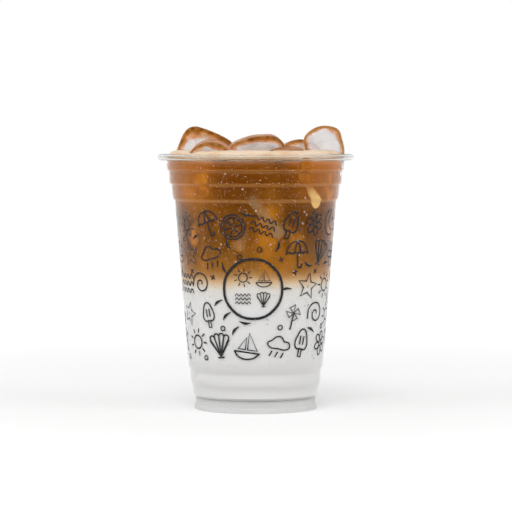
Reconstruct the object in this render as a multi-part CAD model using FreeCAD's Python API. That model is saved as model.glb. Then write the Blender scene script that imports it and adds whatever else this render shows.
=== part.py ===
import FreeCAD, Part
import math
import os

from FreeCAD import Vector

# Iced latte in a clear takeaway cup, built as it is made.
# The cup is one thin moulded shell: a skirt-like foot with a flared ring, stepped bands above it, a plain
# tapered body, three stacking bands and a rolled rim. The drink fills it in layers from the floor up: milk,
# a soft blend, coffee, and foam that bulges between half-moon pieces of ice standing out of the top.
# Origin: centre of the foot ring where it meets the table. +Z is up, -Y is the front. All sizes in mm.

# ---- Cup: overall sizes and sheet ----
cup_height = 123.5
rim_diameter = 95.0
foot_diameter = 59.2
wall = 0.8

# ---- Cup: rolled rim ----
curl_height = 3.1
rim_overhang = 4.5
curl_return = 2.1
lip_round = 0.6

# ---- Cup: stacking bands below the rim, from the top down ----
# height: how tall the band is; draft: how far it narrows on the way down;
# shoulder and step: how tall the slope below it is, and how far that slope goes in.
collar_bands = (
    {"height": 6.7, "draft": 0.15, "shoulder": 1.0, "step": 0.95},
    {"height": 5.5, "draft": 0.30, "shoulder": 1.0, "step": 0.95},
    {"height": 6.5, "draft": 0.65, "shoulder": 1.2, "step": 0.95},
)

# ---- Cup: foot, from the table up ----
foot_ring_height = 1.9
foot_ring_flare = 0.65
foot_flare_height = 0.7
foot_edge_round = 0.35
foot_bands = (
    {"height": 3.6, "draft": 0.10, "shoulder": 1.1, "step": 1.1},
    {"height": 3.6, "draft": 0.15, "shoulder": 2.9, "step": 1.3},
    {"height": 5.6, "draft": 0.10, "shoulder": 1.2, "step": 0.9},
)
floor_height = 5.2
floor_thickness = 0.9
floor_panel_margin = 4.2
floor_panel_rise = 0.8

# ---- Drink: milk_top is up from the table, and the rest are thicknesses ----
milk_top = 59.0
blend_thickness = 9.0
foam_thickness = 4.1
foam_crown = 2.1
foam_shoulder = 5.0

# ---- Ice: half-moon pieces ----
ice_overhang = 1.2
# width, height and depth: the piece's own size; crown: radius of its arched top;
# corner and edge: how far its corners and long edges have melted round;
# inset: how far its middle is in from the wall; bearing: degrees round from the right, front is -90;
# roll, lean and yaw: how it is turned about the Y, X and Z axes; proud: how far it stands above the rim.
ice_pieces = {
    "ice_left": {
        "width": 27.0, "height": 20.0, "depth": 17.0, "crown": 52.0, "corner": 6.5, "edge": 3.6,
        "inset": 16.6, "bearing": 164.0, "roll": 24.0, "lean": -8.0, "yaw": 6.0, "proud": 13.6,
    },
    "ice_front_left": {
        "width": 20.0, "height": 19.0, "depth": 13.0, "crown": 12.2, "corner": 3.4, "edge": 3.4,
        "inset": 12.4, "bearing": -135.0, "roll": 2.0, "lean": 12.0, "yaw": -7.0, "proud": 7.4,
    },
    "ice_middle": {
        "width": 29.5, "height": 22.0, "depth": 15.0, "crown": 42.0, "corner": 8.5, "edge": 3.8,
        "inset": 33.6, "bearing": -87.0, "roll": -11.0, "lean": 6.0, "yaw": 5.0, "proud": 9.9,
    },
    "ice_right": {
        "width": 19.0, "height": 26.0, "depth": 16.0, "crown": 12.5, "corner": 4.8, "edge": 3.8,
        "inset": 8.0, "bearing": -3.0, "roll": -14.0, "lean": -3.0, "yaw": -3.0, "proud": 13.9,
    },
    "ice_front_right": {
        "width": 21.5, "height": 18.0, "depth": 13.0, "crown": 22.0, "corner": 4.5, "edge": 3.4,
        "inset": 13.4, "bearing": -59.0, "roll": -7.0, "lean": 16.0, "yaw": 12.0, "proud": 4.0,
    },
    "ice_back_right": {
        "width": 24.0, "height": 20.0, "depth": 15.0, "crown": 14.0, "corner": 4.5, "edge": 3.6,
        "inset": 15.6, "bearing": 40.0, "roll": -9.0, "lean": -6.0, "yaw": 22.0, "proud": 7.2,
    },
    "ice_back": {
        "width": 27.0, "height": 20.0, "depth": 15.0, "crown": 17.0, "corner": 5.0, "edge": 3.8,
        "inset": 12.6, "bearing": 84.0, "roll": 6.0, "lean": -12.0, "yaw": -10.0, "proud": 5.0,
    },
    "ice_back_left": {
        "width": 24.0, "height": 19.0, "depth": 15.0, "crown": 15.0, "corner": 4.5, "edge": 3.6,
        "inset": 12.0, "bearing": 128.0, "roll": -8.0, "lean": 4.0, "yaw": 44.0, "proud": 4.2,
    },
    "ice_core": {
        "width": 22.0, "height": 20.0, "depth": 14.0, "crown": 14.0, "corner": 4.5, "edge": 3.6,
        "inset": 35.2, "bearing": 62.0, "roll": 5.0, "lean": 10.0, "yaw": 68.0, "proud": 5.2,
    },
}

# ---- Worked out from the sizes above ----
rim_radius = rim_diameter / 2
curl_radius = curl_height / 2
mouth_radius = rim_radius - rim_overhang
mouth_inner = mouth_radius - wall
foot_radius = foot_diameter / 2
floor_top = floor_height + floor_thickness
blend_top = milk_top + blend_thickness
foam_edge = cup_height - lip_round
foam_bottom = foam_edge - foam_thickness
AXIS = Vector(0, 0, 1)
SAME_POINT = 1e-6


def section_point(radius, height):
    """A point of the half section, which lies in the XZ plane."""
    return Vector(radius, 0, height)


class HalfSection:
    """A half section drawn from point to point with lines and arcs, then turned about the axis."""

    def __init__(self, radius, height):
        self.start = section_point(radius, height)
        self.end = self.start
        self.edges = []

    def line_to(self, radius, height):
        target = section_point(radius, height)
        if (target - self.end).Length > SAME_POINT:
            self.edges.append(Part.LineSegment(self.end, target).toShape())
            self.end = target
        return self

    def arc_to(self, middle, end):
        target = section_point(*end)
        self.edges.append(Part.Arc(self.end, section_point(*middle), target).toShape())
        self.end = target
        return self

    def follow(self, points):
        for radius, height in points:
            self.line_to(radius, height)
        return self

    def turned(self):
        self.line_to(self.start.x, self.start.z)
        face = Part.Face(Part.Wire(self.edges))
        return face.revolve(Vector(0, 0, 0), AXIS, 360)


def on_circle(centre, radius, degrees):
    """The (radius, height) point of a section circle at an angle from the outward direction."""
    angle = math.radians(degrees)
    return centre[0] + radius * math.cos(angle), centre[1] + radius * math.sin(angle)


# ---- Cup ----
def foot_side():
    """Outer wall from the top of the foot's ring up to the plain body."""
    radius = foot_radius - foot_ring_flare
    height = foot_ring_height + foot_flare_height
    points = [(foot_radius, foot_ring_height), (radius, height)]
    for band in foot_bands:
        radius += band["draft"]
        height += band["height"]
        points.append((radius, height))
        radius += band["step"]
        height += band["shoulder"]
        points.append((radius, height))
    return points


def collar_side():
    """Outer wall from the top of the plain body up to the underside of the rim."""
    radius = mouth_radius
    height = cup_height - wall
    points = [(radius, height)]
    for band in collar_bands:
        radius -= band["draft"]
        height -= band["height"]
        points.append((radius, height))
        radius -= band["step"]
        height -= band["shoulder"]
        points.append((radius, height))
    return points[::-1]


def outer_side():
    return foot_side() + collar_side()


def outer_radius_at(height):
    """Radius of the outer wall at a height, between the points of its side."""
    side = outer_side()
    low, high = next(span for span in zip(side, side[1:]) if span[1][1] >= height)
    share = (height - low[1]) / (high[1] - low[1])
    return low[0] + (high[0] - low[0]) * share


def inner_side():
    """Inner wall from the floor's top up to the underside of the rim."""
    above = [(radius - wall, height) for radius, height in outer_side() if height > floor_top]
    return [(outer_radius_at(floor_top) - wall, floor_top)] + above


def panel_radius():
    """Radius of the raised panel in the middle of the floor."""
    return foot_radius - wall - floor_panel_margin


def floor_line(height):
    """The floor's top or underside from its rim to the axis, with its raised panel."""
    panel = panel_radius()
    raised = height + floor_panel_rise
    return [(panel + floor_panel_rise, height), (panel, raised), (0, raised)]


def make_cup():
    curl = (rim_radius - curl_radius, cup_height - curl_radius)
    inner_curl = curl_radius - wall
    return_end = curl[0] - curl_return
    skirt = foot_radius - foot_ring_flare - wall
    low = cup_height - curl_height
    section = HalfSection(skirt + foot_edge_round, 0)
    section.line_to(foot_radius - foot_edge_round, 0)
    corner = (foot_radius - foot_edge_round, foot_edge_round)
    section.arc_to(on_circle(corner, foot_edge_round, -45), (foot_radius, foot_edge_round))
    section.follow(outer_side())
    section.line_to(curl[0], cup_height - wall)
    section.arc_to(on_circle(curl, inner_curl, 0), (curl[0], low + wall))
    section.line_to(return_end, low + wall)
    section.arc_to((return_end - wall / 2, low + wall / 2), (return_end, low))
    section.line_to(curl[0], low)
    section.arc_to(on_circle(curl, curl_radius, 0), (curl[0], cup_height))
    section.line_to(mouth_inner + lip_round, cup_height)
    lip = (mouth_inner + lip_round, cup_height - lip_round)
    section.arc_to(on_circle(lip, lip_round, 135), (mouth_inner, cup_height - lip_round))
    section.follow(inner_side()[::-1])
    section.follow(floor_line(floor_top))
    section.follow(floor_line(floor_height)[::-1])
    section.line_to(skirt, floor_height)
    section.line_to(skirt, foot_edge_round)
    hem = (skirt + foot_edge_round, foot_edge_round)
    section.arc_to(on_circle(hem, foot_edge_round, -135), (skirt + foot_edge_round, 0))
    return section.turned()


# ---- Drink ----
def make_contents():
    """Everything that the cup holds, up to the foam's domed top."""
    section = HalfSection(0, floor_top + floor_panel_rise)
    section.follow(floor_line(floor_top)[::-1])
    section.follow(inner_side()[:-1])
    section.line_to(mouth_inner, foam_edge)
    crown = foam_edge + foam_crown
    radius = (foam_shoulder**2 + foam_crown**2) / (2 * foam_crown)
    centre = (mouth_inner - foam_shoulder, crown - radius)
    sweep = math.degrees(math.asin(foam_shoulder / radius))
    section.arc_to(on_circle(centre, radius, 90 - sweep / 2), (centre[0], crown))
    section.line_to(0, crown)
    return section.turned()


def slab(low, high):
    """A disc wider than the cup between two heights."""
    return Part.makeCylinder(rim_radius, high - low, Vector(0, 0, low))


def make_layers(contents):
    """The layers from the floor up, each cut from the same contents."""
    levels = (
        ("milk", 0, milk_top),
        ("blend", milk_top, blend_top),
        ("coffee", blend_top, foam_bottom),
        ("foam", foam_bottom, cup_height + foam_crown),
    )
    return {name: contents.common(slab(low, high)) for name, low, high in levels}


# ---- Ice ----
def half_moon(width, height, depth, crown, corner, edge):
    """One piece of ice with an arched back, its top at the origin and its flat side down."""
    side = width / 2
    shoulder = math.sqrt(crown**2 - side**2) - crown
    corners = [Vector(-side, 0, -height), Vector(side, 0, -height), Vector(side, 0, shoulder)]
    far_shoulder = Vector(-side, 0, shoulder)
    edges = [Part.LineSegment(a, b).toShape() for a, b in zip(corners, corners[1:])]
    edges.append(Part.Arc(corners[-1], Vector(0, 0, 0), far_shoulder).toShape())
    edges.append(Part.LineSegment(far_shoulder, corners[0]).toShape())
    block = Part.Face(Part.Wire(edges)).extrude(Vector(0, depth, 0))
    block.translate(Vector(0, -depth / 2, 0))
    across = [e for e in block.Edges if abs(e.BoundBox.YLength - depth) < SAME_POINT]
    block = block.makeFillet(corner, across)
    outline = [e for e in block.Edges if e.BoundBox.YLength < SAME_POINT]
    return block.makeFillet(edge, outline)


def set_piece(shape, piece):
    """Turns a piece of ice and sets it in the mouth of the cup, standing proud of the rim."""
    origin = Vector(0, 0, 0)
    shape.rotate(origin, Vector(0, 1, 0), piece["roll"])
    shape.rotate(origin, Vector(1, 0, 0), piece["lean"])
    shape.rotate(origin, AXIS, piece["yaw"])
    out = mouth_inner - piece["inset"]
    bearing = math.radians(piece["bearing"])
    box = shape.optimalBoundingBox(False)
    top = cup_height + piece["proud"]
    shape.translate(Vector(
        out * math.cos(bearing) - box.Center.x,
        out * math.sin(bearing) - box.Center.y,
        top - box.ZMax,
    ))
    return shape


def ice_room(contents):
    """Where ice can be: inside the cup, and above the rim out to a small overhang."""
    tallest = max(piece["proud"] + piece["height"] for piece in ice_pieces.values())
    above = Part.makeCylinder(mouth_inner + ice_overhang, tallest, Vector(0, 0, cup_height))
    inside = Part.makeCylinder(mouth_inner, lip_round, Vector(0, 0, foam_edge))
    return contents.fuse(inside).fuse(above)


def make_ice(contents):
    """Every piece of ice, each cut back where an earlier piece already stands."""
    room = ice_room(contents)
    sizes = ("width", "height", "depth", "crown", "corner", "edge")
    placed = {}
    for name, piece in ice_pieces.items():
        shape = half_moon(*(piece[size] for size in sizes))
        shape = set_piece(shape, piece).common(room)
        for other in placed.values():
            shape = shape.cut(other)
        placed[name] = max(shape.Solids, key=lambda solid: solid.Volume)
    return placed


def cut_round(shape, pieces):
    """The shape with room for each piece that stands in it."""
    for piece in pieces:
        shape = shape.cut(piece)
    return max(shape.Solids, key=lambda solid: solid.Volume)


def make_nodes():
    contents = make_contents()
    ice = make_ice(contents)
    layers = make_layers(contents)
    nodes = {"cup": make_cup()}
    nodes.update({name: cut_round(layer, ice.values()) for name, layer in layers.items()})
    nodes.update(ice)
    return nodes


def main():
    os.makedirs("parts", exist_ok=True)
    for name, shape in make_nodes().items():
        solids = shape.Solids
        print(name, "solids", len(solids), "valid", shape.isValid(), "cm3", round(shape.Volume / 1000, 2))
        shape.exportStep(f"parts/{name}.step")


main()
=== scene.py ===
# %% [markdown]
# # An iced latte in its clear takeaway cup
# The real thing is a thin moulded cup, filled by hand: milk first, then ice, then coffee poured so slowly
# that it floats on the milk, with a little foam at the brim. The CAD model is loaded as a fixed frame, and
# its pieces are made again around it in this order: cup, drink, foam and ice. The printed pattern and the
# water that condenses on the cold wall come last. What the CAD model knows is read from the frame.

# %% Load the frame
import math
import random

import bmesh
import bpy
from mathutils import Euler, Matrix, Vector, noise
from mathutils.bvhtree import BVHTree
from mathutils.kdtree import KDTree


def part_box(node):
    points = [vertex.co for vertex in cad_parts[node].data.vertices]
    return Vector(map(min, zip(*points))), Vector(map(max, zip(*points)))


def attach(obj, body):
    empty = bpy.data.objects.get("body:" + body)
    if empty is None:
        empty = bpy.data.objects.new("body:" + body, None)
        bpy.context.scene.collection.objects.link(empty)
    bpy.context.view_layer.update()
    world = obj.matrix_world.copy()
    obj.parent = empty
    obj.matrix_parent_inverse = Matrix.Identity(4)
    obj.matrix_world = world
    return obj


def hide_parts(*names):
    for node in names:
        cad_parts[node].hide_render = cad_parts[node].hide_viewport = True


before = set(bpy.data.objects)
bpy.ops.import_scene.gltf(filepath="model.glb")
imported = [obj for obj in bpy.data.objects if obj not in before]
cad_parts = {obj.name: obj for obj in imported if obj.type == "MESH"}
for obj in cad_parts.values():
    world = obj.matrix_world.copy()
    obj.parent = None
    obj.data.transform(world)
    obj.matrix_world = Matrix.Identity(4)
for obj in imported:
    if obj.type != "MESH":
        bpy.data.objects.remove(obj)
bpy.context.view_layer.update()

MM = 0.001
MERGE = 0.001 * MM
UP = Vector((0, 0, 1))
ICE_NODES = sorted(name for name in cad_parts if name.startswith("ice"))
RIM_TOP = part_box("cup")[1].z
print(len(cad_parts), "nodes, of which", len(ICE_NODES), "are ice")
print("the rim is", round(RIM_TOP / MM, 1), "mm up")

# %% [markdown]
# Colours are easiest to judge as a screen shows them, from 0 to 255, but Blender works with linear light. One
# small function turns the first into the second, so that every colour below can be read as it looks.

# %% Colours as they look
def srgb(red, green, blue):
    def linear(value):
        share = value / 255
        return share / 12.92 if share <= 0.04045 else ((share + 0.055) / 1.055) ** 2.4
    return (linear(red), linear(green), linear(blue), 1.0)

print("middle grey is", round(srgb(128, 128, 128)[0], 3), "in linear light")

# %% [markdown]
# A material is a graph of nodes. Written call by call it gets long, so a small class adds a node, sets its
# inputs, or links those that come from another node, in one line each. It works in a material, in a node
# group and in the world alike. Patterns sit on Object coordinates, which stay with the piece.

# %% A hand for node graphs
class Graph:
    def __init__(self, tree):
        self.tree = tree

    def add(self, kind, inputs=None, **settings):
        node = self.tree.nodes.new("ShaderNode" + kind)
        for name, value in settings.items():
            setattr(node, name, value)
        for name, value in (inputs or {}).items():
            self.feed(node.inputs[name], value)
        return node

    def feed(self, socket, value):
        if isinstance(value, bpy.types.NodeSocket):
            self.tree.links.new(value, socket)
        else:
            socket.default_value = value

    def math(self, operation, first, second=0.0):
        return self.add("Math", {0: first, 1: second}, operation=operation).outputs[0]

    def smooth(self, value, low, high, to_low=0.0, to_high=1.0):
        inputs = {0: value, 1: low, 2: high, 3: to_low, 4: to_high}
        return self.add("MapRange", inputs, interpolation_type="SMOOTHSTEP").outputs[0]

    def mix(self, share, first, second):
        return self.add("Mix", {0: share, 6: first, 7: second}, data_type="RGBA").outputs[2]

    def place(self):
        return self.add("TexCoord").outputs["Object"]

    def along(self, axis):
        return self.add("SeparateXYZ", {0: self.place()}).outputs[axis]

    def stored(self, attribute):
        return self.add("Attribute", attribute_name=attribute).outputs["Fac"]

    def stretched(self, vector, scale, turn=(0, 0, 0)):
        return self.add("Mapping", {"Vector": vector, "Scale": scale, "Rotation": turn}).outputs[0]

    def noise(self, vector, scale, detail):
        return self.add("TexNoise", {"Vector": vector, "Scale": scale, "Detail": detail}).outputs["Fac"]

    def ramp(self, share, stops):
        node = self.add("ValToRGB", {0: share})
        while len(node.color_ramp.elements) < len(stops):
            node.color_ramp.elements.new(0.5)
        for element, (place, colour) in zip(node.color_ramp.elements, stops):
            element.position = place
            element.color = colour
        return node.outputs[0]

    def principled(self, inputs):
        return self.add("BsdfPrincipled", inputs).outputs[0]

    def surface(self, shader):
        self.add("OutputMaterial", {"Surface": shader})


def new_material(name):
    material = bpy.data.materials.new(name)
    material.use_nodes = True
    material.node_tree.nodes.clear()
    return material, Graph(material.node_tree)


def new_colour_group(name):
    """A node group that puts out one colour, and the socket that takes it."""
    tree = bpy.data.node_groups.new(name, "ShaderNodeTree")
    tree.interface.new_socket("Colour", in_out="OUTPUT", socket_type="NodeSocketColor")
    return Graph(tree), tree.nodes.new("NodeGroupOutput").inputs["Colour"]

# %% [markdown]
# A CAD mesh is loose triangles, so a copy is merged before it is worked on. To follow the moulded cup
# exactly, the copy is cut by two planes: what the second cut leaves is the wall's half section, which a spin
# turns back into a smooth shell. A finished bmesh then becomes a piece: shaded smooth between its real edges,
# given its material, and set to ride on the one body.

# %% Copies and sections of the frame
def merged_copy(node):
    shape = bmesh.new()
    shape.from_mesh(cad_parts[node].data)
    bmesh.ops.remove_doubles(shape, verts=shape.verts, dist=MERGE)
    return shape


def half_section(node):
    """The line that a half plane through the axis cuts from a CAD node, as a bmesh of edges."""
    shape = merged_copy(node)
    for normal, drop in (((1, 0, 0), True), ((0, 1, 0), False)):
        whole = shape.verts[:] + shape.edges[:] + shape.faces[:]
        cut = bmesh.ops.bisect_plane(shape, geom=whole, dist=MERGE / 10, plane_co=(0, 0, 0),
                                     plane_no=normal, clear_inner=drop)["geom_cut"]
    line = {part for part in cut if isinstance(part, bmesh.types.BMEdge)}
    bmesh.ops.delete(shape, geom=[edge for edge in shape.edges if edge not in line], context="EDGES")
    bmesh.ops.remove_doubles(shape, verts=shape.verts, dist=MERGE)
    bmesh.ops.dissolve_limit(shape, angle_limit=math.radians(0.5), verts=shape.verts, edges=shape.edges)
    return shape


def spin_round(shape, steps):
    """Spins a half section once round the axis and closes its poles."""
    bmesh.ops.spin(shape, geom=shape.verts[:] + shape.edges[:], cent=(0, 0, 0), axis=UP, angle=math.tau,
                   steps=steps, use_merge=True)
    bmesh.ops.remove_doubles(shape, verts=shape.verts, dist=MERGE)
    bmesh.ops.recalc_face_normals(shape, faces=shape.faces)
    return shape

# %% From bmesh to piece
def as_mesh(name, shape):
    mesh = bpy.data.meshes.new(name)
    shape.to_mesh(mesh)
    shape.free()
    return mesh


def add_to_scene(name, data):
    thing = bpy.data.objects.new(name, data)
    bpy.context.scene.collection.objects.link(thing)
    return thing


def make_piece(name, shape, material, nodes=(), crease=40):
    """Turns a finished bmesh into a piece. crease: from how many degrees on an edge stays sharp."""
    for face in shape.faces:
        face.smooth = True
    for edge in shape.edges:
        edge.smooth = len(edge.link_faces) == 2 and edge.calc_face_angle() < math.radians(crease)
    mesh = as_mesh(name, shape)
    piece = add_to_scene(name, mesh)
    mesh.materials.append(material)
    if nodes:
        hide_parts(*nodes)
    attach(piece, "root")
    print(name, "has", len(mesh.polygons), "faces")
    return piece

# %% Measure the wall
WALL = BVHTree.FromBMesh(merged_copy("cup"))
# above this height the wall bends out into the rim
WALL_TOP = RIM_TOP - 2 * MM
# the outer face is looked for from well outside, in metres
LOOK_FROM = 1.0

def wall_radius(height, outside=False):
    """How far the cup's inner or outer face is from the axis, at a height inside the cup."""
    start, way = (LOOK_FROM, -1) if outside else (0, 1)
    return WALL.ray_cast(Vector((start, MERGE, height)), Vector((way, 0, 0)))[0].x


def out_from_axis(bearing):
    return Vector((math.cos(bearing), math.sin(bearing), 0))

for height in (20, 60, 100):
    print("wall at", height, "mm:", round(wall_radius(height * MM) / MM, 2), "mm from the axis")

# %% [markdown]
# ## The cup
# A thermoformed cup is one sheet of clear plastic, drawn over a mould. Its corners are slightly round, and
# they catch the light as thin bright lines. A plain spin of the section would leave them knife sharp, so each
# corner between two long edges is bevelled before the spin. The plastic itself is glass-like, a little hazy,
# and lets lamps shine through: that last part is a Transparent shader for shadow rays alone.

# %% Clear plastic
def clear_surface(graph, inputs, shadow=0.97):
    """A Principled BSDF that lets light pass, and that dims shadow rays only a little."""
    body = graph.principled(inputs)
    see_through = graph.add("BsdfTransparent", {"Color": (shadow, shadow, shadow, 1.0)}).outputs[0]
    shadow_ray = graph.add("LightPath").outputs["Is Shadow Ray"]
    graph.surface(graph.add("MixShader", {0: shadow_ray, 1: body, 2: see_through}).outputs[0])


def clear_plastic():
    """The sheet is clear on the body. Its rolled rim is greyer, partly as thicker plastic and partly as
    painted shade that stands in for dark reflections in its curl.
    """
    material, graph = new_material("clear_plastic")
    rim_tint_and_painted_shade = graph.smooth(graph.along("Z"), RIM_TOP - 4 * MM, RIM_TOP - 2.6 * MM)
    # the rim's grey: partly thicker plastic, partly a painted dark reflection
    colour = graph.mix(rim_tint_and_painted_shade, srgb(251, 250, 249), srgb(236, 235, 232))
    clear_surface(graph, {"Base Color": colour, "Roughness": 0.03, "IOR": 1.42, "Transmission Weight": 1.0,
                          "Specular Tint": (0.15, 0.15, 0.15, 1.0)})
    return material


def frosted_plastic():
    """The foot is moulded with a fine grain, so it scatters the light and looks milky."""
    material, graph = new_material("frosted_plastic")
    grain = graph.noise(graph.stretched(graph.place(), scale=(1, 1, 0.4)), 700, 3.0)
    colour = graph.mix(grain, srgb(230, 231, 230), srgb(238, 238, 237))
    clear_surface(graph, {"Base Color": colour, "Roughness": 0.5, "IOR": 1.42, "Transmission Weight": 0.45})
    return material

CLEAR_PLASTIC = clear_plastic()
FROSTED_PLASTIC = frosted_plastic()
print("made", CLEAR_PLASTIC.name, "and", FROSTED_PLASTIC.name)

# %% Find the corners
CORNER_ROUND = 0.28 * MM

def long_corners(shape, least_edge, least_turn):
    """The corners of a line where two long edges meet at a clear angle."""
    corners = []
    for vert in shape.verts:
        if len(vert.link_edges) == 2:
            ways = [edge.other_vert(vert).co - vert.co for edge in vert.link_edges]
            turn = math.pi - ways[0].angle(ways[1])
            if min(way.length for way in ways) > least_edge and turn > least_turn:
                corners.append(vert)
    return corners

section = half_section("cup")
corners = long_corners(section, 2.5 * CORNER_ROUND, math.radians(8))
# the stacking bands lie above this height
BANDS_FROM = 0.78 * RIM_TOP
band_corners = sorted({round(vert.co.z / MM, 1) for vert in corners if vert.co.z > BANDS_FROM})
print("corners of the stacking bands, in mm:", band_corners)

# %% Spin the cup
CUP_STEPS = 192
bmesh.ops.bevel(section, geom=corners, offset=CORNER_ROUND, offset_type="OFFSET", segments=2, profile=0.5,
                affect="VERTICES", material=-1, clamp_overlap=True)
print("the half section has", len(section.verts), "points, after", len(corners), "corners were rounded")
cup = make_piece("clear_cup", spin_round(section, CUP_STEPS), CLEAR_PLASTIC, ["cup"])

FOOT_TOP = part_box("milk")[0].z - 0.2 * MM
cup.data.materials.append(FROSTED_PLASTIC)
for face in cup.data.polygons:
    face.material_index = int(face.center.z < FOOT_TOP)
print("the frosted foot is", round(FOOT_TOP / MM, 1), "mm high")

# %% [markdown]
# ## The drink
# Milk, the soft band where it meets the coffee, and the coffee are three solids in the CAD, but in the cup
# they are one cloud that changes colour with height. So one shader group, shared by all of them, gives the
# colour from the Object height: a colour ramp, its height pushed about by noise so that the layers billow.
# Paler upright wisps show where milk and melting ice thin the coffee. High up, the middle is darker, which is
# painted shade, and the sides are amber, which is painted light from the lamps at both sides. Halfway up, the
# sides are darker. The layers also sit a little lower at the sides, which pales them: painted light as well.
# Each solid is copied and its wall side is pushed a quarter of a millimetre into the plastic, because any air
# gap would show as a silver skin.

# %% The layers of the drink
MILK_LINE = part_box("milk")[1].z / MM
# mm above the milk line, and the colour there
LATTE_STOPS = (
    (-9, (224, 224, 224)), (-1, (221, 219, 214)), (1, (219, 205, 184)), (3.2, (211, 179, 139)),
    (5.5, (182, 138, 86)), (8.5, (156, 106, 44)), (13, (148, 96, 30)), (19, (144, 90, 20)),
    (25, (130, 77, 10)), (33, (128, 75, 8)), (45, (128, 72, 4)), (54, (132, 71, 2)),
    (58.6, (150, 80, 4)), (60.4, (190, 116, 44)), (62, (206, 146, 88)),
)

def layers(graph, level):
    """The plain layers, from milk to coffee, at a level in mm above the milk line."""
    low, high = LATTE_STOPS[0][0], LATTE_STOPS[-1][0]
    share = graph.math("DIVIDE", graph.math("SUBTRACT", level, low), high - low)
    return graph.ramp(share, [((at - low) / (high - low), srgb(*colour)) for at, colour in LATTE_STOPS])


def painted_corner_highlights(graph, level):
    """A pale line where each corner of the stacking bands lies: a painted highlight, for the light that the
    plastic corner catches.
    """
    corner_highlight = 0.0
    for low_corner, high_corner in zip(band_corners[::2], band_corners[1::2]):
        middle = (low_corner + high_corner) / 2 - MILK_LINE
        away = graph.math("ABSOLUTE", graph.math("SUBTRACT", level, middle))
        corner_highlight = graph.math("MAXIMUM", graph.smooth(away, 0.3, 1.3, 0.5, 0.0), corner_highlight)
    return corner_highlight

print("the drink changes from milk to coffee", round(MILK_LINE, 1), "mm up, in", len(LATTE_STOPS), "colours")

# %% The colour of the drink
BILLOW_RISE = 7.0
SWELL_RISE = 9.0
# mm that the layers sit lower at the sides: painted light, which pales them there
PAINTED_SIDE_LIGHT_DROP = 2.0

def latte_group():
    graph, colour_out = new_colour_group("latte_colour")
    place = graph.place()
    level = graph.math("SUBTRACT", graph.math("DIVIDE", graph.along("Z"), MM), MILK_LINE)
    billow = graph.noise(graph.stretched(place, scale=(1, 1, 0.7)), 55, 3.0)
    broad = graph.noise(place, 16, 1.0)
    rise = graph.math("MULTIPLY", graph.math("SUBTRACT", billow, 0.5), BILLOW_RISE)
    swell = graph.math("MULTIPLY", graph.math("SUBTRACT", broad, 0.5), SWELL_RISE)
    # the sides, found by |X|: there the layers are paled and, high up, turned amber, as painted light
    sideways = graph.math("ABSOLUTE", graph.along("X"))
    uneven = graph.math("ADD", sideways, graph.math("MULTIPLY", broad, 10 * MM))
    beside = graph.smooth(uneven, 12 * MM, 40 * MM)
    lean_with_side_light = graph.math("SUBTRACT", graph.math("ADD", rise, swell), graph.math("MULTIPLY", beside, PAINTED_SIDE_LIGHT_DROP))
    near_rim = graph.smooth(level, 50, 57, 1.0, 0.06)
    layered = layers(graph, graph.math("ADD", level, graph.math("MULTIPLY", lean_with_side_light, near_rim)))

    wisps = graph.noise(graph.stretched(place, scale=(1, 1, 0.22), turn=(0.2, 0.1, 0)), 70, 4.0)
    pale = graph.math("MULTIPLY", graph.smooth(wisps, 0.48, 0.72), graph.smooth(level, 3, 14, 0.0, 0.7))
    thinned = graph.mix(pale, layered, srgb(198, 128, 30))
    deep = graph.math("MULTIPLY", graph.smooth(billow, 0.52, 0.34), graph.smooth(level, 8, 20, 0.0, 0.55))
    clouded = graph.mix(deep, thinned, srgb(90, 50, 3))

    # high up: painted light, amber, on the sides and painted shade in the middle; halfway up the sides are
    # darker
    high = graph.smooth(level, 34, 46)
    halfway = graph.math("SUBTRACT", graph.smooth(level, 12, 20), high)
    painted_side_light = graph.math("MULTIPLY", beside, high)
    painted_middle_shade = graph.smooth(graph.math("SUBTRACT", high, beside), 0.1, 1.0)
    halfway_beside = graph.math("MULTIPLY", beside, halfway)
    tints = ((painted_side_light, (200, 122, 34)), (painted_middle_shade, (98, 50, 0)), (halfway_beside, (80, 46, 14)))
    for where, tint in tints:
        clouded = graph.mix(graph.math("MULTIPLY", where, 0.5), clouded, srgb(*tint))
    # the pale line at each band corner is a painted highlight, in this colour
    graph.feed(colour_out, graph.mix(painted_corner_highlights(graph, level), clouded, srgb(200, 140, 76)))
    return graph.tree

LATTE_GROUP = latte_group()

def latte_colour(graph):
    """The drink's colour at each place, for any material."""
    return graph.add("Group", node_tree=LATTE_GROUP).outputs["Colour"]


def drink_material():
    material, graph = new_material("layered_latte")
    graph.surface(graph.principled({"Base Color": latte_colour(graph), "Roughness": 0.5,
                                    "Specular IOR Level": 0.0}))
    return material

LATTE = drink_material()
print("made", LATTE.name, "with", len(LATTE_GROUP.nodes), "nodes in its group")

# %% Fill the cup
BITE = 0.25 * MM

def reach_into_wall(shape):
    """Pushes what lies on the cup's inner face a little way into the plastic."""
    for vert in shape.verts:
        radius = math.hypot(vert.co.x, vert.co.y)
        if radius < MERGE or vert.co.z > RIM_TOP:
            continue
        wall_here = wall_radius(min(vert.co.z, WALL_TOP))
        if abs(radius - wall_here) < 2 * BITE:
            vert.co.xy *= (wall_here + BITE) / radius
    return shape

for node, slot in (("milk", "milk"), ("blend", "blend"), ("coffee", "coffee")):
    make_piece(node + "_fill", reach_into_wall(merged_copy(node)), LATTE, [node])

# %% [markdown]
# ## The foam
# The foam fills the gaps between the ice and domes up over the brim. Its CAD solid has crisp cut edges, so a
# voxel remesh melts it into one even skin, which swells a little against the ice and then takes soft lumps
# from noise. The smallest bubbles are a bump in the material, made from cells of two sizes.

# %% Remesh and keep
def finished_mesh(thing):
    """The mesh of an object with its modifiers or its curve bevel worked out; the object is removed."""
    mesh = bpy.data.meshes.new_from_object(thing.evaluated_get(bpy.context.evaluated_depsgraph_get()))
    bpy.data.objects.remove(thing)
    return mesh


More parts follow.
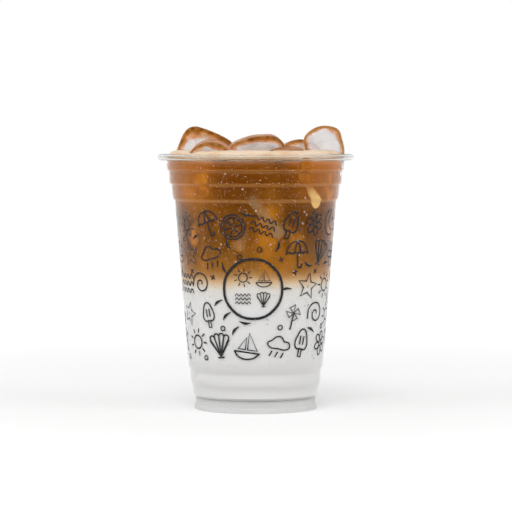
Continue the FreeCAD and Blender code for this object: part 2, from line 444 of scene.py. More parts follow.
def remeshed(name, shape, voxel, smoothing):
    """Melts a closed shape into even quads of about one voxel, smooths it, and gives it back as a bmesh."""
    rough = as_mesh(name + "_rough", shape)
    carrier = add_to_scene(rough.name, rough)
    melt = carrier.modifiers.new("Melt", "REMESH")
    melt.mode = "VOXEL"
    melt.voxel_size = voxel
    soften = carrier.modifiers.new("Soften", "SMOOTH")
    soften.factor = 0.5
    soften.iterations = smoothing
    finished = finished_mesh(carrier)
    melted = bmesh.new()
    melted.from_mesh(finished)
    for used in (rough, finished):
        bpy.data.meshes.remove(used)
    return melted

# %% Foam material
def foam_material():
    material, graph = new_material("coffee_foam")
    place = graph.place()
    patches = graph.smooth(graph.noise(place, 90, 3.0), 0.42, 0.66)
    cream = graph.mix(patches, srgb(240, 214, 184), srgb(228, 190, 150))
    out_of_drink = graph.smooth(graph.along("Z"), RIM_TOP - 3.6 * MM, RIM_TOP - 1.6 * MM)
    colour = graph.mix(out_of_drink, latte_colour(graph), cream)
    small = graph.add("TexVoronoi", {"Vector": place, "Scale": 1500.0}).outputs["Distance"]
    large = graph.add("TexVoronoi", {"Vector": place, "Scale": 520.0}).outputs["Distance"]
    cells = graph.math("ADD", graph.smooth(small, 0.1, 0.5), graph.smooth(large, 0.05, 0.5))
    bump = graph.add("Bump", {"Height": cells, "Strength": 0.5, "Distance": 0.12 * MM}).outputs[0]
    graph.surface(graph.principled({
        "Base Color": colour, "Roughness": 0.42, "Normal": bump, "Subsurface Weight": 0.25,
        "Subsurface Radius": (1.2 * MM, 0.9 * MM, 0.6 * MM), "Subsurface Scale": 1.0}))
    return material

FOAM = foam_material()
print("made", FOAM.name)

# %% Foam
FOAM_VOXEL = 0.55 * MM
FOAM_SWELL = 0.45 * MM
FOAM_LUMP = 0.5 * MM
FOAM_LUMP_WIDTH = 5 * MM

def swell_foam(shape):
    """Presses the foam against the ice and gives its free top soft lumps."""
    shape.normal_update()
    moves = []
    for vert in shape.verts:
        facing_up = max(vert.normal.z, 0)
        lump = noise.noise(vert.co / FOAM_LUMP_WIDTH) * facing_up
        moves.append(vert.normal * (FOAM_SWELL * (1 - 0.6 * facing_up) + FOAM_LUMP * lump))
    for vert, move in zip(shape.verts, moves):
        vert.co += move
        radius = math.hypot(vert.co.x, vert.co.y)
        if vert.co.z < RIM_TOP:
            most = wall_radius(min(vert.co.z, WALL_TOP)) + BITE
            if radius > most:
                vert.co.xy *= most / radius
    return shape

foam_shape = remeshed("foam", merged_copy("foam"), FOAM_VOXEL, 2)
make_piece("foam_cap", swell_foam(foam_shape), FOAM, ["foam"], crease=180)

# %% [markdown]
# ## The ice
# Each piece is a half moon, melted smooth: clear and grey-white through its flat sides, with a film of coffee
# left round its arched edge. The CAD solids are remeshed and smoothed, and noise melts shallow hollows into
# them, only ever inwards, so no piece outgrows its solid. The film is thickest along the edges between the
# flat sides and the arch, and fades with the distance from them. A tree of the edge points finds that
# distance for every other point, and an attribute on the mesh takes it to the material.

# %% Ice material
def ice_material():
    material, graph = new_material("melting_ice")
    place = graph.place()
    ragged = graph.math("MULTIPLY", graph.math("SUBTRACT", graph.noise(place, 300, 4.0), 0.5), 0.7)
    film = graph.math("ADD", graph.stored("film"), ragged)
    depth = graph.noise(place, 130, 3.0)
    peach = graph.mix(graph.smooth(depth, 0.42, 0.6), srgb(208, 134, 80), srgb(234, 182, 140))
    golden = graph.mix(graph.smooth(film, 0.6, 0.92), peach, srgb(180, 116, 48))
    speckle = graph.smooth(graph.noise(place, 420, 4.0), 0.42, 0.6)
    thick = graph.math("MULTIPLY", graph.smooth(film, 0.9, 1.2), speckle)
    browns = graph.mix(thick, golden, srgb(118, 68, 14))
    cloudy = graph.mix(graph.smooth(depth, 0.35, 0.7), srgb(240, 241, 244), srgb(214, 216, 220))
    stain = graph.smooth(film, 0.26, 0.6)
    dried = graph.smooth(film, 0.2, 0.6, 0.1, 0.3)
    dimples = graph.noise(place, 330, 2.0)
    bump = graph.add("Bump", {"Height": dimples, "Strength": 0.25, "Distance": 0.3 * MM}).outputs[0]
    inputs = {"Base Color": graph.mix(stain, cloudy, browns), "Roughness": dried, "Normal": bump,
              "IOR": 1.12, "Specular IOR Level": 0.2, "Specular Tint": (0.4, 0.4, 0.4, 1.0),
              "Transmission Weight": 0.5}
    clear_surface(graph, inputs, shadow=0.9)
    return material

ICE = ice_material()
print("made", ICE.name)

# %% Melt the ice
MELT_DEPTH = 0.55 * MM
HOLLOW_WIDTH = 7 * MM
DIMPLE_WIDTH = 2.6 * MM

def flat_side(shape):
    """The way that a half moon's largest flat side faces."""
    areas = {}
    for face in shape.faces:
        way = tuple(round(part, 2) for part in (face.normal if face.normal.y < 0 else -face.normal))
        areas[way] = areas.get(way, 0) + face.calc_area()
    return Vector(max(areas, key=areas.get)).normalized()


def melt_ice(shape, seed):
    """Sinks shallow hollows into the ice."""
    shift = Vector((seed * 3.1, seed * 1.7, 0))
    shape.normal_update()
    moves = []
    for vert in shape.verts:
        broad = 0.5 + 0.5 * noise.noise(vert.co / HOLLOW_WIDTH + shift)
        fine = 0.5 + 0.5 * noise.noise(vert.co / DIMPLE_WIDTH - shift)
        moves.append(-vert.normal * MELT_DEPTH * (0.8 * broad + 0.2 * fine))
    for vert, move in zip(shape.verts, moves):
        vert.co += move
    shape.normal_update()
    return shape

for node in ICE_NODES:
    print(node, "faces", [round(part, 2) for part in flat_side(merged_copy(node))])

# %% The film of coffee
# How much coffee dried on a piece: all over it, at its very top and how many mm down from there, how many mm
# in from the edges of its flat sides, and how much on the middle of its arch.
BROWNED = {
    "ice_left": (0.14, 0.6, 11, 4.6, 0.25), "ice_front_left": (0.02, 0.3, 5, 5.0, 0.45),
    "ice_middle": (0.0, 0.3, 6, 6.5, 0.4), "ice_front_right": (0.2, 0.2, 6, 4.0, 0.4),
    "ice_right": (0.0, 0.15, 4, 3.4, 0.5), "ice_back_right": (0.1, 0.15, 6, 4.0, 0.1),
    "ice_back": (0.0, 0.2, 6, 4.0, 0.05), "ice_back_left": (0.05, 0.2, 6, 4.0, 0.1),
    "ice_core": (0.05, 0.15, 6, 4.0, 0.1),
}
ARCH_REACH = 3 * MM
TONGUE_WIDTH = 5 * MM

def edge_tree(across):
    """A tree of the points on the edges, from how squarely each point faces the flat side."""
    edges = [vert for vert, squarely in across.items() if 0.4 < squarely < 0.65]
    tree = KDTree(len(edges))
    for index, vert in enumerate(edges):
        tree.insert(vert.co, index)
    tree.balance()
    return tree


def add_film(shape, side, top, browned, splashed, depth, spread, on_arch):
    """Stores how thick the film is: 1 and more on the edges, less on the arch, least inside a flat side."""
    film = shape.verts.layers.float.new("film")
    across = {vert: abs(vert.normal.dot(side)) for vert in shape.verts}
    tree = edge_tree(across)
    for vert in shape.verts:
        gap = tree.find(vert.co)[2]
        if across[vert] > 0.5:
            reach = spread * MM * (0.95 + 0.9 * noise.noise(vert.co / TONGUE_WIDTH))
            wet = max(1 - gap / reach, 0) ** 1.5
        else:
            wet = on_arch + (1 - on_arch) * max(1 - gap / ARCH_REACH, 0)
        high = min(max(1 - (top - vert.co.z) / (depth * MM), 0), 1)
        vert[film] = browned + splashed * high + wet

# %% Ice pieces
ICE_VOXEL = 0.6 * MM

for seed, node in enumerate(ICE_NODES):
    solid = merged_copy(node)
    side = flat_side(solid)
    melted = melt_ice(remeshed(node, solid, ICE_VOXEL, 3), seed)
    add_film(melted, side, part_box(node)[1].z, *BROWNED[node])
    make_piece(node + "_melted", melted, ICE, [node], crease=180)

# %% [markdown]
# More ice floats under the surface. Where a piece presses against the wall, the coffee in front of it is
# thin, and a paler patch with soft edges shows. So rounded blocks are sunk round the cup, and every point
# that would stick out is pressed back, to lie a hair in front of the drink. How far a point was pressed is
# stored too, and the colour goes from coffee to amber with it. The pressed faces lie flat and can't shade
# themselves, so grey-brown is painted shade and cream a painted highlight on the ice facets, one amount
# for each block.

# %% Sunk ice material
def sunk_material():
    material, graph = new_material("sunk_ice")
    press = graph.stored("press")
    pale = graph.stored("pale")
    streaks = graph.noise(graph.stretched(graph.place(), scale=(1, 1, 0.5), turn=(0, 0.5, 0)), 240, 4.0)
    torn = graph.math("ADD", press, graph.math("MULTIPLY", graph.math("SUBTRACT", streaks, 0.5), 0.7))
    soft = graph.math("MULTIPLY", graph.smooth(torn, 0.05, 1.0), graph.smooth(press, 0.0, 0.3))
    # amber is coffee thinned over the ice; grey-brown is painted shade and cream a painted highlight on the
    # facets
    amber = graph.mix(graph.smooth(streaks, 0.4, 0.66), srgb(160, 94, 12), srgb(198, 126, 30))
    clear = graph.mix(graph.smooth(pale, 0.0, 0.5), amber, srgb(158, 126, 88))
    lit = graph.mix(graph.smooth(pale, 0.5, 1.0), clear, srgb(236, 196, 124))
    colour = graph.mix(soft, latte_colour(graph), lit)
    graph.surface(graph.principled({"Base Color": colour, "Roughness": 0.4, "Specular IOR Level": 0.0}))
    return material

SUNK_ICE = sunk_material()
print("made", SUNK_ICE.name)

# %% Rounded blocks
SUNK_VOXEL = 0.8 * MM
ROUNDNESS = 0.46
DENT_DEPTH = 0.3 * MM
DENT_WIDTH = 6 * MM

def rounded_block(size):
    """A block with well rounded corners and dented sides; size: its wide, deep and high sides in mm."""
    shape = bmesh.new()
    bmesh.ops.create_cube(shape, size=MM, matrix=Matrix.Diagonal((*size, 1)))
    bmesh.ops.bevel(shape, geom=shape.edges[:], offset=ROUNDNESS * min(size) * MM, offset_type="OFFSET",
                    segments=4, profile=0.5, affect="EDGES", material=-1, clamp_overlap=True)
    shape = remeshed("block", shape, SUNK_VOXEL, 4)
    shape.normal_update()
    for vert in shape.verts:
        vert.co += vert.normal * noise.noise(vert.co / DENT_WIDTH + Vector(size)) * DENT_DEPTH
    return shape

# %% Sink a block
PRESS_GAP = 0.1 * MM
FULL_PRESS = 2.2 * MM
SUNK_TOP = RIM_TOP - 5 * MM

def sink(shape, bearing, height, reach, turns, facet_light_and_shade):
    """Moves a block to the wall and presses it in. reach: how far it would stick out, unpressed."""
    outward = Matrix.Rotation(bearing + math.pi / 2, 4, "Z")
    tilted = Euler([math.radians(turn) for turn in turns]).to_matrix().to_4x4()
    bmesh.ops.transform(shape, matrix=outward @ tilted, verts=shape.verts)
    out = out_from_axis(bearing)
    farthest = max(vert.co.dot(out) for vert in shape.verts)
    away = wall_radius(height) + reach - farthest
    bmesh.ops.translate(shape, vec=out * away + UP * height, verts=shape.verts)
    press = shape.verts.layers.float.new("press")
    pale = shape.verts.layers.float.new("pale")
    for vert in shape.verts:
        limit = wall_radius(min(vert.co.z, SUNK_TOP)) + BITE + PRESS_GAP
        radius = math.hypot(vert.co.x, vert.co.y)
        vert[press] = min(max((radius - limit) / FULL_PRESS, 0), 1)
        vert[pale] = facet_light_and_shade
        if radius > limit:
            vert.co.xy *= limit / radius
    return shape

# %% Sunk ice
# bearing in degrees, height and reach in mm, three turns in degrees, sides in mm, and the painted facet
# light and shade: 0 amber, 0.5 grey-brown painted shade, 1 cream painted highlight
SUNK_PIECES = (
    (-50, 107, 2.3, (-7, -42, 0), (6.5, 10, 23), 0.95),
    (-56, 116, 2.0, (0, 6, 0), (9, 9, 14), 0.0),
    (-83, 95, 2.4, (4, -37, 0), (8, 10, 28), 0.5),
    (-100, 84, 1.8, (-4, 30, 0), (10, 10, 16), 0.3),
    (-128, 111, 2.2, (0, 8, 0), (12, 10, 16), 0.0),
    (-138, 88, 2.0, (-8, 30, 0), (11, 10, 20), 0.12),
    (-60, 86, 1.8, (0, -20, 10), (12, 10, 18), 0.1),
    (-30, 110, 2.2, (0, -10, 0), (11, 9, 18), 0.0),
    (-16, 86, 2.0, (4, -40, 0), (11, 10, 17), 0.2),
    (14, 104, 2.0, (0, 20, 10), (12, 10, 17), 0.3),
    (50, 90, 2.2, (8, -36, 0), (10, 10, 20), 0.1),
    (84, 106, 2.3, (-7, 40, 10), (6.5, 10, 21), 0.8),
    (122, 86, 2.0, (-6, 16, 0), (13, 10, 16), 0.2),
    (156, 104, 2.2, (0, -24, 10), (10, 10, 20), 0.15),
    (196, 84, 2.0, (8, 30, 0), (12, 10, 17), 0.3),
)
sunk = bmesh.new()
for bearing, height, reach, turns, size, facet_light_and_shade in SUNK_PIECES:
    block = sink(rounded_block(size), math.radians(bearing), height * MM, reach * MM, turns, facet_light_and_shade)
    block_mesh = as_mesh("block", block)
    sunk.from_mesh(block_mesh)
    bpy.data.meshes.remove(block_mesh)
make_piece("sunk_ice", sunk, SUNK_ICE, crease=180)

# %% [markdown]
# ## The printed pattern
# The cup is printed all round with small line drawings in one dark ink: holiday things, a few solid dashes
# and dots, and one round badge at the front. An image would be the quick way, but drawn curves stay sharp at
# any size. Each stroke is a Bezier curve with a bevel, made a mesh, pressed almost flat, and then rolled onto
# the wall. Every motif is drawn once, about a centre, with a half size of 1.

# %% Strokes
INK_STROKE = 0.72 * MM
MOTIF_HALF = 6.7 * MM
# half a stroke's width, measured in a motif's own units
INK_SHARE = INK_STROKE / 2 / MOTIF_HALF

def stroke(points, closed=False, sharp=False, thickness=None):
    return {"points": points, "closed": closed, "sharp": sharp, "thickness": thickness or [1] * len(points)}


def line(*points, closed=False):
    return stroke(points, closed, sharp=True)


def wave(*points, closed=False):
    return stroke(points, closed)


def polar(radius, degrees, centre=(0, 0)):
    angle = math.radians(degrees)
    return (centre[0] + radius * math.cos(angle), centre[1] + radius * math.sin(angle))


def arc(radius, centre=(0, 0), start=0, sweep=360, squash=1.0):
    """A circle, or the part of it that sweeps on from the start, squashed in height."""
    steps = max(3, round(abs(sweep) / 45))
    around = [polar(radius, start + sweep * step / steps) for step in range(steps + (sweep != 360))]
    return stroke([(centre[0] + x, centre[1] + squash * y) for x, y in around], closed=sweep == 360)


def dot(radius, centre=(0, 0)):
    """A solid dot: a short stroke about as thick as it is long."""
    x, y = centre
    thick = radius / INK_SHARE
    return stroke([(x - 0.02, y), (x + 0.02, y)], thickness=[thick, thick])

print("a stroke of ink is", round(INK_STROKE / MM, 2), "mm wide")
print("a motif is", round(2 * MOTIF_HALF / MM, 1), "mm wide")

# %% Sun, cloud, star, snowflake and daisy
def sun():
    return [arc(0.45)] + [line(polar(0.64, turn), polar(0.95, turn)) for turn in range(0, 360, 40)]


def cloud():
    edge = wave((-0.7, -0.15), (-0.92, 0.12), (-0.6, 0.4), (-0.3, 0.72), (0.12, 0.74), (0.38, 0.46),
                (0.8, 0.4), (0.92, 0.05), (0.66, -0.16), (0, -0.18), closed=True)
    return [edge] + [line((x, -0.42), (x - 0.14, -0.86)) for x in (-0.45, 0.02, 0.5)]


def star():
    tips = [polar(0.95 if turn % 2 == 0 else 0.42, 90 + 36 * turn) for turn in range(10)]
    return [line(*tips, closed=True), dot(0.1)]


def snowflake():
    arms = []
    for turn in range(30, 210, 60):
        arms.append(line(polar(0.95, turn), polar(0.95, turn + 180)))
    for turn in range(30, 390, 60):
        arms.append(line(polar(0.9, turn - 17), polar(0.58, turn), polar(0.9, turn + 17)))
    return arms


def daisy():
    petals = []
    for turn in range(0, 360, 60):
        petals.append(wave(polar(0.27, turn - 25), polar(0.66, turn - 22), polar(0.93, turn),
                           polar(0.66, turn + 22), polar(0.27, turn + 25)))
    return petals + [arc(0.22), dot(0.09)]

print("strokes in a snowflake:", len(snowflake()))

# %% Citrus wheel, ice lolly, parasol, ripples and spiral
def citrus_wheel():
    spokes = [line(polar(0.14, turn), polar(0.66, turn)) for turn in range(15, 375, 60)]
    return [arc(0.94), arc(0.72)] + spokes


def ice_lolly():
    body = wave((-0.42, -0.35), (-0.42, 0.5), (0, 0.98), (0.42, 0.5), (0.42, -0.35), (0, -0.38), closed=True)
    stick = line((-0.12, -0.4), (-0.12, -0.92), (0.12, -0.92), (0.12, -0.4))
    return [body, stick, line((-0.14, 0.5), (-0.14, -0.1)), line((0.14, 0.5), (0.14, -0.1))]


def parasol():
    hem = [arc(0.225, (x, 0.02), 180, -180, 0.6) for x in (-0.675, -0.225, 0.225, 0.675)]
    ribs = [wave((0, 0.92), (side * 0.18, 0.5), (side * 0.24, 0.06)) for side in (-1, 1)]
    pole = wave((0, 0.06), (0, -0.5), (0.04, -0.84), (0.24, -0.9), (0.36, -0.66))
    return [arc(0.9, (0, 0.02), 0, 180)] + hem + ribs + [pole]


def ripples():
    rows = []
    for height in (-0.5, 0.0, 0.5):
        rows.append(wave(*[(x / 4, height + (0.16 if x % 2 else -0.12)) for x in range(-4, 5)]))
    return rows


def spiral():
    return [wave(*[polar(0.08 + 0.075 * step, 52 * step) for step in range(12)])]

print("strokes in a parasol:", len(parasol()))

# %% Kite, shell, boat, moon, balloon and pinwheel
def kite():
    tail = wave((0.02, -0.28), (0.2, -0.5), (-0.02, -0.7), (0.2, -0.95))
    bow = line((-0.12, -0.62), (0.1, -0.78), (0.12, -0.6), (-0.12, -0.8), closed=True)
    spars = [line((0, 0.98), (0.02, -0.28)), line((-0.56, 0.42), (0.56, 0.46))]
    return [line((0, 0.98), (-0.56, 0.42), (0.02, -0.28), (0.56, 0.46), closed=True), tail, bow] + spars


def shell():
    ribs = [line((0, -0.72), polar(1.18, turn, (0, -0.5))) for turn in (52, 71, 90, 109, 128)]
    lobes = [arc(0.2, polar(1.2, turn, (0, -0.5)), turn - 95, 190) for turn in (61.5, 80.5, 99.5, 118.5)]
    sides = [line((0, -0.72), (side * 0.78, 0.42)) for side in (-1, 1)]
    return ribs + lobes + sides + [line((-0.26, -0.8), (0.26, -0.8))]


def boat():
    hull = wave((-0.85, -0.38), (-0.5, -0.76), (0.45, -0.76), (0.9, -0.38))
    sails = [line((0.05, -0.2), (0.05, 0.95), (0.72, -0.2), closed=True),
             line((-0.1, -0.2), (-0.1, 0.62), (-0.6, -0.2), closed=True)]
    return [hull, line((-0.85, -0.38), (0.9, -0.38))] + sails


def moon():
    crescent = wave((0.25, 0.86), (-0.36, 0.72), (-0.72, 0.12), (-0.42, -0.58), (0.3, -0.82), (0.62, -0.6),
                    (0.08, -0.3), (-0.1, 0.14), (0.06, 0.56), closed=True)
    twinkle = [line((0.5, 0.3), (0.82, 0.3)), line((0.66, 0.14), (0.66, 0.46))]
    return [crescent] + twinkle + [dot(0.08, (0.5, -0.14))]


def balloon():
    skin = wave((0, 0.98), (-0.6, 0.5), (-0.42, -0.12), (0, -0.38), (0.42, -0.12), (0.6, 0.5), closed=True)
    seams = [wave((0, 0.96), (side * 0.24, 0.46), (0, -0.36)) for side in (-1, 1)]
    basket = line((-0.16, -0.62), (0.16, -0.62), (0.12, -0.92), (-0.12, -0.92), closed=True)
    return [skin, basket, line((-0.2, -0.3), (-0.14, -0.62)), line((0.2, -0.3), (0.14, -0.62))] + seams


def pinwheel():
    hub = (0, 0.25)
    vanes = []
    for turn in range(0, 360, 90):
        vanes.append(line(hub, polar(0.62, turn, hub), polar(0.5, turn + 52, hub), closed=True))
    return vanes + [line((0, 0.2), (0, -0.98))]

print("strokes in a shell:", len(shell()))

# %% Small marks between the motifs
def dash():
    return [stroke([(-0.5, -0.16), (-0.1, 0.08), (0.5, 0.14)], thickness=[0.5, 2.3, 0.7])]


def plus():
    return [line((-0.26, 0), (0.26, 0)), line((0, -0.26), (0, 0.26))]


def bead():
    return [arc(0.2)]


def two_dots():
    return [dot(0.12, (-0.2, -0.08)), dot(0.09, (0.16, 0.14))]

MOTIFS = (sun, cloud, star, snowflake, daisy, citrus_wheel, ice_lolly, parasol, ripples, spiral, kite, shell,
          boat, moon, balloon, pinwheel)
SMALL_MOTIFS = (dash, dash, plus, bead, two_dots)
print(len(MOTIFS), "motifs, and", len(set(SMALL_MOTIFS)), "small ones")

# %% Draw each motif once
INK_DEPTH = 0.05 * MM

def inked(drawn, half_size=MOTIF_HALF, width=INK_STROKE):
    """The strokes as one flat mesh of ink, about the origin, facing up."""
    drawing = bpy.data.curves.new("drawing", "CURVE")
    drawing.dimensions = "3D"
    drawing.resolution_u = 4
    drawing.bevel_depth = width / 2
    drawing.bevel_resolution = 2
    drawing.use_fill_caps = True
    for part in drawn:
        spline = drawing.splines.new("BEZIER")
        spline.bezier_points.add(len(part["points"]) - 1)
        spline.use_cyclic_u = part["closed"]
        for knot, (x, y), thickness in zip(spline.bezier_points, part["points"], part["thickness"]):
            knot.co = (x * half_size, y * half_size, 0)
            knot.radius = thickness
            knot.handle_left_type = knot.handle_right_type = "VECTOR" if part["sharp"] else "AUTO"
    mesh = finished_mesh(add_to_scene("drawing", drawing))
    bpy.data.curves.remove(drawing)
    highest = max(vert.co.z for vert in mesh.vertices)
    mesh.transform(Matrix.Scale(INK_DEPTH / 2 / highest, 4, UP))
    return mesh

INKED = {motif: inked(motif()) for motif in dict.fromkeys(MOTIFS + SMALL_MOTIFS)}
face_counts = [len(mesh.polygons) for mesh in INKED.values()]
print(len(INKED), "drawings, of", min(face_counts), "to", max(face_counts), "faces")

# %% [markdown]
# The motifs stand in rows round the plain part of the wall. Each has a cell of its own, in which it is
# turned, sized and shifted a little by seeded chance. Picks come from a shuffled bag, so that neighbours
# differ, and small dashes and dots fill the corners between cells. The badge's place is kept free of both.

# %% Roll a drawing onto the wall
PRINT_TOP = 96 * MM
PRINT_BOTTOM = 26 * MM
OUTER_TOP = wall_radius(PRINT_TOP, outside=True)
OUTER_BOTTOM = wall_radius(PRINT_BOTTOM, outside=True)

def printed_radius(height):
    """The plain wall's outer face is a cone, so two heights give all."""
    share = (height - PRINT_BOTTOM) / (PRINT_TOP - PRINT_BOTTOM)
    return OUTER_BOTTOM + share * (OUTER_TOP - OUTER_BOTTOM)


def roll_on(shape, mesh, bearing, height, turn=0.0, size=1.0):
    """Adds a flat drawing to the print, rolled onto the wall about a bearing and a height."""
    known = len(shape.verts)
    shape.from_mesh(mesh)
    shape.verts.ensure_lookup_table()
    place = Matrix.Rotation(turn, 4, "Z") @ Matrix.Diagonal((size, size, 1, 1))
    for vert in shape.verts[known:]:
        flat = place @ vert.co
        up = height + flat.y
        angle = bearing + flat.x / printed_radius(up)
        radius = printed_radius(up) + flat.z
        vert.co = (radius * math.cos(angle), radius * math.sin(angle), up)

print("the printed wall's radius is", round(OUTER_BOTTOM / MM, 1), "to", round(OUTER_TOP / MM, 1), "mm")

# %% Keep the motifs apart
BADGE_RADIUS = 14.2 * MM
BADGE_HEIGHT = 60 * MM
BADGE_BEARING = math.radians(-92)
printing = bmesh.new()
taken = [(BADGE_BEARING, BADGE_HEIGHT, BADGE_RADIUS)]

def is_free(bearing, height, room):
    """Whether a round place on the wall is clear of the badge and of every motif so far."""
    for other_bearing, other_height, other_room in taken:
        across = (bearing - other_bearing + math.pi) % math.tau - math.pi
        if math.hypot(across * printed_radius(height), height - other_height) < room + other_room:
            return False
    return True


def print_motif(motif, bearing, height, turn, size, room):
    roll_on(printing, INKED[motif], bearing, height, turn, size)
    taken.append((bearing, height, room))

# %% Rows of motifs
ROW_PITCH = 14.2 * MM
CELL_PITCH = 14.4 * MM
# how much round place a motif needs, and how much it then keeps from the others
MOTIF_NEEDS = 5.2 * MM
MOTIF_ROOM = 6 * MM
luck = random.Random(11)
bag = []
rows = round((PRINT_TOP - PRINT_BOTTOM) / ROW_PITCH)
for row in range(rows):
    row_height = PRINT_BOTTOM + ROW_PITCH * (row + 0.5)
    cells = round(math.tau * printed_radius(row_height) / CELL_PITCH)
    for cell in range(cells):
        bearing = math.tau * (cell + 0.5 * (row % 2) + luck.uniform(-0.08, 0.08)) / cells
        height = row_height + luck.uniform(-0.8, 0.8) * MM
        if len(bag) < 4:
            bag += luck.sample(MOTIFS, len(MOTIFS))
        if is_free(bearing, height, MOTIF_NEEDS):
            turn, size = luck.uniform(-0.4, 0.4), luck.uniform(0.9, 1.05)
            print_motif(bag.pop(0), bearing, height, turn, size, MOTIF_ROOM)
print(len(taken) - 1, "motifs stand in", rows, "rows")

# %% Small marks fill the gaps
FILLER_TRIES = 2500
FILLER_SIZE = 0.8
FILLER_NEEDS = 2.1 * MM
FILLER_ROOM = 4 * MM
for _ in range(FILLER_TRIES):
    bearing, height = luck.uniform(0, math.tau), luck.uniform(PRINT_BOTTOM, PRINT_TOP)
    if is_free(bearing, height, FILLER_NEEDS):
        mark, turn = luck.choice(SMALL_MOTIFS), luck.uniform(0, math.tau)
        print_motif(mark, bearing, height, turn, FILLER_SIZE, FILLER_ROOM)
print(len(taken) - 1, "motifs, large and small, are on the wall")

# %% The badge
BADGE_STROKE = 1.25 * MM
# a motif, how far right of and above the badge's middle it stands in mm, and its size
BADGE_MOTIFS = (
    (sun, -4.8, 5.4, 0.7),
    (boat, 5.2, 4.8, 0.66),
    (ripples, -4.8, -4.8, 0.56),
    (shell, 5.0, -5.2, 0.6),
)
roll_on(printing, inked([arc(1.0)], BADGE_RADIUS, BADGE_STROKE), BADGE_BEARING, BADGE_HEIGHT)
for motif, right, above, size in BADGE_MOTIFS:
    height = BADGE_HEIGHT + above * MM
    bearing = BADGE_BEARING + right * MM / printed_radius(height)
    roll_on(printing, INKED[motif], bearing, height, size=size)

def dark_ink():
    """The ink is worn unevenly, so it isn't quite one colour."""
    material, graph = new_material("dark_ink")
    colour = graph.mix(graph.noise(graph.place(), 900, 3.0), srgb(30, 27, 29), srgb(46, 43, 45))
    graph.surface(graph.principled({"Base Color": colour, "Roughness": 0.5, "Specular IOR Level": 0.2}))
    return material

make_piece("printed_pattern", printing, dark_ink(), crease=180)

# %% [markdown]
# ## The condensation
# A cold cup mists over: thousands of beads, most under half a millimetre wide, stand thick on the collar and
# thin out towards the milk. Instances would be lost on export, so the beads are real domes joined into one
# mesh. One dome with few faces is made by cutting a sphere, and copies are set onto the wall by seeded
# chance, turned to lie on it, with the base sunk a hair into the plastic.

# %% One bead
def bead_mesh():
    shape = bmesh.new()
    bmesh.ops.create_uvsphere(shape, u_segments=6, v_segments=4, radius=1.0)
    whole = shape.verts[:] + shape.edges[:] + shape.faces[:]
    bmesh.ops.bisect_plane(shape, geom=whole, dist=MERGE, plane_co=(0, 0, 0), plane_no=UP, clear_inner=True)
    bmesh.ops.holes_fill(shape, edges=shape.edges, sides=0)
    bmesh.ops.recalc_face_normals(shape, faces=shape.faces)
    return as_mesh("bead", shape)

BEAD = bead_mesh()
print("a bead has", len(BEAD.polygons), "faces")

# %% Where a bead sits, and how large it is
BEAD_SINK = 0.03 * MM
SLOPE_REACH = 0.15 * MM

def outer_place(bearing, height):
    """A point on the outer wall, and the way the wall faces there."""
    above = wall_radius(height + SLOPE_REACH, outside=True)
    below = wall_radius(height - SLOPE_REACH, outside=True)
    out = out_from_axis(bearing)
    point = out * wall_radius(height, outside=True) + UP * height
    return point, (out - UP * (above - below) / (2 * SLOPE_REACH)).normalized()


def bead_size(luck):
    """Most beads are tiny; one in fifty has run together with others."""
    if luck.random() < 0.02:
        return luck.uniform(0.3, 0.6) * MM
    return luck.uniform(0.09, 0.24) * MM


def bead_matrix(luck, bearing, height):
    """Places a bead on the wall, turned to lie on it, a little longer than wide and flatter than both."""
    point, way = outer_place(bearing, height)
    radius = bead_size(luck)
    turn = way.to_track_quat("Z", "Y").to_matrix().to_4x4() @ Matrix.Rotation(luck.uniform(0, 1), 4, "Z")
    long, high = radius * luck.uniform(1.0, 1.25), radius * luck.uniform(0.5, 0.7)
    return Matrix.Translation(point - way * BEAD_SINK) @ turn @ Matrix.Diagonal((radius, long, high, 1))

# %% Mist the wall
MIST_TOP = RIM_TOP - 5 * MM
MIST_BOTTOM = 24 * MM
BEAD_COUNT = 6000
luck = random.Random(5)
mist = bmesh.new()
while len(mist.faces) < BEAD_COUNT * len(BEAD.polygons):
    up_share = luck.random()
    crowding = 0.12 + 0.88 * min(max((up_share - 0.25) / 0.4, 0), 1)
    if luck.random() > crowding:
        continue
    height = MIST_BOTTOM + up_share * (MIST_TOP - MIST_BOTTOM)
    bead_here = BEAD.copy()
    bead_here.transform(bead_matrix(luck, luck.uniform(0, math.tau), height))
    mist.from_mesh(bead_here)
    bpy.data.meshes.remove(bead_here)

def water_beads_painted_glint():
    material, graph = new_material("water_beads_painted_glint")
    # the whitish base, in the fifth of the bead that isn't clear, is a painted glint: each bead shows as a
    # light speck
    clear_surface(graph, {"Base Color": srgb(255, 240, 218), "Roughness": 0.05, "IOR": 1.33,
                          "Transmission Weight": 0.8})
    return material

make_piece("condensation", mist, water_beads_painted_glint(), crease=60)

# %% [markdown]
# ## Stage, light and camera
# The floor is a plain pale plane. Where it is seen, reflected or seen through, it glows: less beside the cup,
# where the soft contact shadow lies, and more farther away, where it has to reach white. The world is one
# even sky: full white where it is seen, reflected or seen through, and weaker as light, with broad lamps
# above and at both sides for the rest. The camera has a long lens and looks slightly down on the drink.

# %% Floor
def seen_directly(graph):
    """1 for camera, mirror and see-through rays, and 0 for the rays that light the object."""
    rays = graph.add("LightPath").outputs
    seen = graph.math("MAXIMUM", rays["Is Camera Ray"], rays["Is Glossy Ray"])
    return graph.math("MAXIMUM", seen, rays["Is Transmission Ray"])


def floor_material():
    material, graph = new_material("pale_floor")
    away = graph.add("VectorMath", {0: graph.place()}, operation="LENGTH").outputs["Value"]
    glow = graph.math("MULTIPLY", seen_directly(graph), graph.smooth(away, 0.08, 0.8, 0.2, 0.5))
    graph.surface(graph.principled({
        "Base Color": (0.88, 0.88, 0.88, 1.0), "Roughness": 0.9, "Specular IOR Level": 0.0,
        "Emission Color": (1.0, 1.0, 1.0, 1.0), "Emission Strength": glow}))
    return material

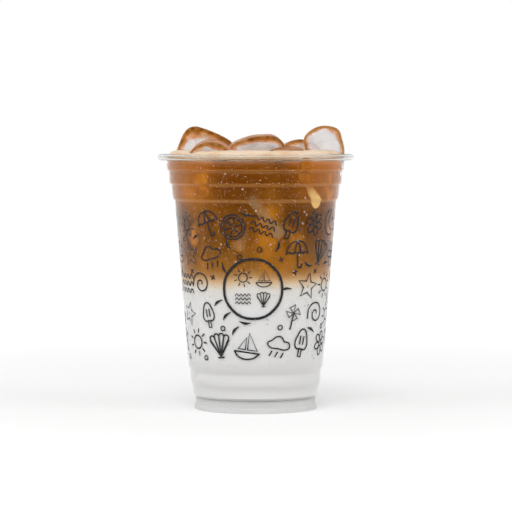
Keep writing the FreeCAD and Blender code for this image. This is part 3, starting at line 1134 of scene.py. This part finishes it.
FLOOR_SIDE = 8.0
floor_shape = bmesh.new()
bmesh.ops.create_grid(floor_shape, x_segments=1, y_segments=1, size=FLOOR_SIDE / 2)
floor = add_to_scene("floor", as_mesh("floor", floor_shape))
floor.data.materials.append(floor_material())
print("the floor is", FLOOR_SIDE, "m wide")

# %% World
SKY_LIGHT = 0.63
world = bpy.data.worlds.new("even_sky")
bpy.context.scene.world = world
world.use_nodes = True
world.node_tree.nodes.clear()
sky = Graph(world.node_tree)
strength = sky.smooth(seen_directly(sky), 0.0, 1.0, SKY_LIGHT, 1.0)
background = sky.add("Background", {"Color": (1.0, 1.0, 1.0, 1.0), "Strength": strength}).outputs[0]
sky.add("OutputWorld", {"Surface": background})
print("as light, the sky is", SKY_LIGHT, "of full white")

# %% Lamps
DRINK_MIDDLE = Vector((0, 0, RIM_TOP / 2))

def soft_lamp(name, place, size, power):
    light = bpy.data.lights.new(name, "AREA")
    light.shape = "RECTANGLE"
    light.size, light.size_y = size
    light.energy = power
    lamp = add_to_scene(name, light)
    lamp.location = place
    lamp.rotation_euler = (DRINK_MIDDLE - Vector(place)).to_track_quat("-Z", "Y").to_euler()
    print(name, "gives", power, "W")

soft_lamp("top_lamp", (-0.1, -0.6, 0.95), (0.4, 0.4), 2.5)
soft_lamp("left_lamp", (-0.95, -0.5, 0.3), (0.4, 0.5), 2.2)
soft_lamp("right_lamp", (0.95, -0.45, 0.3), (0.4, 0.5), 2.2)

# %% Camera
CAMERA_PLACE = Vector((0.0002, -1.273, 0.136))
CAMERA_AIM = Vector((0.0002, 0.0, 0.0739))

lens = bpy.data.cameras.new("camera")
lens.sensor_width = 36.0
lens.lens = 184.7
camera = add_to_scene("camera", lens)
camera.location = CAMERA_PLACE
looking = CAMERA_AIM - CAMERA_PLACE
camera.rotation_euler = looking.to_track_quat("-Z", "Y").to_euler()
bpy.context.scene.camera = camera
bpy.context.scene.view_settings.view_transform = "Standard"
print("the camera looks down by", round(math.degrees(math.atan2(-looking.z, looking.y)), 1), "degrees")
